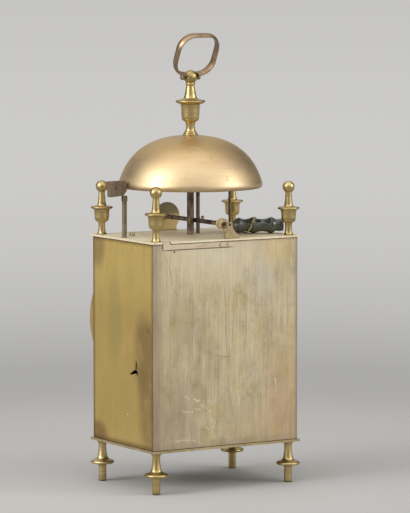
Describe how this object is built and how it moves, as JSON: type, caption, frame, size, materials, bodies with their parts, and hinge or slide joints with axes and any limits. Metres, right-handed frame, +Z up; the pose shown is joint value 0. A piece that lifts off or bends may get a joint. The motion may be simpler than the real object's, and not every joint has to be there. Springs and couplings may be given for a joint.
{
  "type": "alarm clock",
  "caption": "Small brass carriage alarm clock: a boxed movement with doors on turned feet, a domed bell with hammers on top, corner finials, a carrying ring and a pull cord with a toggle.",
  "frame": {"origin": "centre of the case's footprint on the plane that the four feet stand on", "axes": "+Z up, the dial faces -Y, the back door faces +Y, +X is the side of the outer strike hammer"},
  "size_m": [0.1237, 0.0984, 0.3032],
  "materials": {
    "side_brass": "satin, aged sheet",
    "back_brass": "satin, dulled and scratched sheet",
    "deck_brass": "dull, stained sheet",
    "turned_brass": "polished turnings",
    "bell_brass": "satin bell metal",
    "ring_brass": "dark worn strip",
    "bezel_brass": "polished casting",
    "movement_brass": "grained plates and wheels",
    "old_steel": "browned steel",
    "blued_steel": "blued steel",
    "enamel": "fired enamel on copper",
    "clear_glass": "clear, domed",
    "horn": "polished dark horn or wood",
    "cord": "twisted silk or linen cord"
  },
  "bodies": {
    "root": {"bottom_plate": "side_brass", "top_plate": "deck_brass", "front_panel": "side_brass", "corner_posts": "side_brass", "feet": "turned_brass", "finials": "turned_brass", "door_pins": "old_steel", "bezel_lugs": "bezel_brass", "dial": "enamel", "bell": "bell_brass", "bell_post": "old_steel", "bell_washer": "turned_brass", "top_finial": "turned_brass", "hammer_cocks": "turned_brass", "verge_bracket": "turned_brass", "front_cock": "deck_brass", "rear_bracket": "back_brass", "pull_cord": "cord", "toggle": "horn", "front_movement_plate": "movement_brass", "back_movement_plate": "movement_brass", "movement_pillars": "turned_brass", "mounting_pillars": "turned_brass", "pendulum_cock": "turned_brass"},
    "back_door": {"back_door": "back_brass", "catch_rivets": "turned_brass"},
    "back_catch": {"back_catch": "back_brass"},
    "right_door": {"right_door": "side_brass", "side_catches_right": "back_brass"},
    "left_door": {"left_door": "side_brass", "side_catches_left": "back_brass"},
    "bezel": {"bezel": "bezel_brass", "glass": "clear_glass"},
    "carrying_ring": {"carrying_ring": "ring_brass"},
    "strike_hammer": {"strike_hammer": "old_steel"},
    "repeat_hammer": {"repeat_hammer": "old_steel"},
    "alarm_hammer": {"alarm_hammer": "old_steel"},
    "pull_arbor": {"pull_arbor": "old_steel"},
    "centre_arbor": {"centre_arbor": "movement_brass", "minute_hand": "blued_steel"},
    "hour_wheel": {"hour_wheel": "movement_brass", "hour_hand": "blued_steel"},
    "minute_wheel": {"minute_wheel": "movement_brass"},
    "alarm_disc": {"alarm_disc": "movement_brass"},
    "going_barrel": {"going_barrel": "movement_brass"},
    "going_arbor": {"going_arbor": "movement_brass"},
    "third_wheel": {"third_wheel": "movement_brass"},
    "escape_wheel": {"escape_wheel": "movement_brass"},
    "anchor": {"anchor": "old_steel"},
    "pendulum": {"pendulum": "movement_brass"},
    "strike_barrel": {"strike_barrel": "movement_brass"},
    "strike_arbor": {"strike_arbor": "movement_brass"},
    "pin_wheel": {"pin_wheel": "movement_brass"},
    "warning_wheel": {"warning_wheel": "movement_brass"},
    "fly": {"fly": "movement_brass"},
    "alarm_barrel": {"alarm_barrel": "movement_brass"},
    "crown_wheel": {"crown_wheel": "movement_brass"}
  },
  "joints": [
    {"name": "back_door_swing", "type": "hinge", "parent": "root", "child": "back_door", "pos_m": [-0.0552, 0.0387, 0.09775], "axis": [0, 0, 1], "range_deg": [0, 100]},
    {"name": "back_catch_flex", "type": "hinge", "parent": "back_door", "child": "back_catch", "pos_m": [0.0047, 0.0401, 0.1638], "axis": [0, 1, 0], "range_deg": [0, 3], "stiffness_Nm_per_rad": 2},
    {"name": "right_door_swing", "type": "hinge", "parent": "root", "child": "right_door", "pos_m": [0.0552, -0.0387, 0.09775], "axis": [0, 0, -1], "range_deg": [0, 95]},
    {"name": "left_door_swing", "type": "hinge", "parent": "root", "child": "left_door", "pos_m": [-0.0552, -0.0387, 0.09775], "axis": [0, 0, 1], "range_deg": [0, 95]},
    {"name": "bezel_swing", "type": "hinge", "parent": "root", "child": "bezel", "pos_m": [-0.055, -0.0419, 0.1097], "axis": [0, 0, -1], "range_deg": [0, 100]},
    {"name": "ring_swing", "type": "hinge", "parent": "root", "child": "carrying_ring", "pos_m": [0.0018, -0.003, 0.2728], "axis": [-1, 0, 0], "range_deg": [-170, 110]},
    {"name": "strike_hammer_swing", "type": "hinge", "parent": "root", "child": "strike_hammer", "pos_m": [0.052, -0.005, 0.158], "axis": [0, 1, 0], "range_deg": [-1, 5], "stiffness_Nm_per_rad": 0.3},
    {"name": "repeat_hammer_swing", "type": "hinge", "parent": "root", "child": "repeat_hammer", "pos_m": [-0.0305, -0.005, 0.158], "axis": [0, 1, 0], "range_deg": [-1, 5], "stiffness_Nm_per_rad": 0.3},
    {"name": "alarm_hammer_swing", "type": "hinge", "parent": "root", "child": "alarm_hammer", "pos_m": [-0.0079, -0.0092, 0.1547], "axis": [0, 0, 1], "range_deg": [-12, 12]},
    {"name": "pull_arbor_turn", "type": "hinge", "parent": "root", "child": "pull_arbor", "pos_m": [-0.0023, 0, 0.1765], "axis": [0, -1, 0], "range_deg": [0, 60]},
    {"name": "centre_turn", "type": "hinge", "parent": "root", "child": "centre_arbor", "pos_m": [0, 0, 0.1097], "axis": [0, 1, 0], "continuous": true},
    {"name": "hour_turn", "type": "hinge", "parent": "root", "child": "hour_wheel", "pos_m": [0, -0.03, 0.1097], "axis": [0, 1, 0], "continuous": true},
    {"name": "minute_wheel_turn", "type": "hinge", "parent": "root", "child": "minute_wheel", "pos_m": [0.006, -0.03, 0.09931], "axis": [0, 1, 0], "continuous": true},
    {"name": "alarm_disc_turn", "type": "hinge", "parent": "root", "child": "alarm_disc", "pos_m": [0, -0.04, 0.1097], "axis": [0, 1, 0], "continuous": true},
    {"name": "going_barrel_turn", "type": "hinge", "parent": "root", "child": "going_barrel", "pos_m": [-0.02198, 0, 0.09888], "axis": [0, 1, 0], "continuous": true},
    {"name": "going_winding", "type": "hinge", "parent": "root", "child": "going_arbor", "pos_m": [-0.02198, 0, 0.09888], "axis": [0, 1, 0], "continuous": true},
    {"name": "third_wheel_turn", "type": "hinge", "parent": "root", "child": "third_wheel", "pos_m": [-0.00718, 0, 0.12943], "axis": [0, 1, 0], "continuous": true},
    {"name": "escape_wheel_turn", "type": "hinge", "parent": "root", "child": "escape_wheel", "pos_m": [0, 0, 0.14345], "axis": [0, 1, 0], "continuous": true},
    {"name": "pendulum_swing", "type": "hinge", "parent": "root", "child": "pendulum", "pos_m": [0, 0.017, 0.15645], "axis": [0, 1, 0], "range_deg": [-3, 3]},
    {"name": "anchor_swing", "type": "hinge", "parent": "root", "child": "anchor", "pos_m": [0, 0, 0.15645], "axis": [0, 1, 0], "range_deg": [-3, 3]},
    {"name": "strike_barrel_turn", "type": "hinge", "parent": "root", "child": "strike_barrel", "pos_m": [0.02198, 0, 0.09888], "axis": [0, 1, 0], "continuous": true},
    {"name": "strike_winding", "type": "hinge", "parent": "root", "child": "strike_arbor", "pos_m": [0.02198, 0, 0.09888], "axis": [0, 1, 0], "continuous": true},
    {"name": "pin_wheel_turn", "type": "hinge", "parent": "root", "child": "pin_wheel", "pos_m": [0.03311, 0, 0.12071], "axis": [0, 1, 0], "continuous": true},
    {"name": "warning_wheel_turn", "type": "hinge", "parent": "root", "child": "warning_wheel", "pos_m": [0.02416, 0, 0.13398], "axis": [0, 1, 0], "continuous": true},
    {"name": "fly_turn", "type": "hinge", "parent": "root", "child": "fly", "pos_m": [0.03352, 0, 0.14241], "axis": [0, 1, 0], "continuous": true},
    {"name": "alarm_barrel_turn", "type": "hinge", "parent": "root", "child": "alarm_barrel", "pos_m": [-0.02623, 0, 0.14669], "axis": [0, 1, 0], "continuous": true},
    {"name": "crown_wheel_turn", "type": "hinge", "parent": "root", "child": "crown_wheel", "pos_m": [-0.0079, 0, 0.1547], "axis": [0, 1, 0], "continuous": true}
  ],
  "couplings": [
    {"joint": "going_barrel_turn", "follows": "centre_turn", "ratio": -0.16667},
    {"joint": "third_wheel_turn", "follows": "centre_turn", "ratio": -6},
    {"joint": "escape_wheel_turn", "follows": "centre_turn", "ratio": 36},
    {"joint": "minute_wheel_turn", "follows": "centre_turn", "ratio": -0.33333},
    {"joint": "hour_turn", "follows": "centre_turn", "ratio": 0.083333},
    {"joint": "strike_barrel_turn", "follows": "pin_wheel_turn", "ratio": -0.16667},
    {"joint": "warning_wheel_turn", "follows": "pin_wheel_turn", "ratio": -5.4},
    {"joint": "fly_turn", "follows": "pin_wheel_turn", "ratio": 32.4},
    {"joint": "crown_wheel_turn", "follows": "alarm_barrel_turn", "ratio": -7},
    {"joint": "anchor_swing", "follows": "pendulum_swing", "ratio": 1}
  ]
}
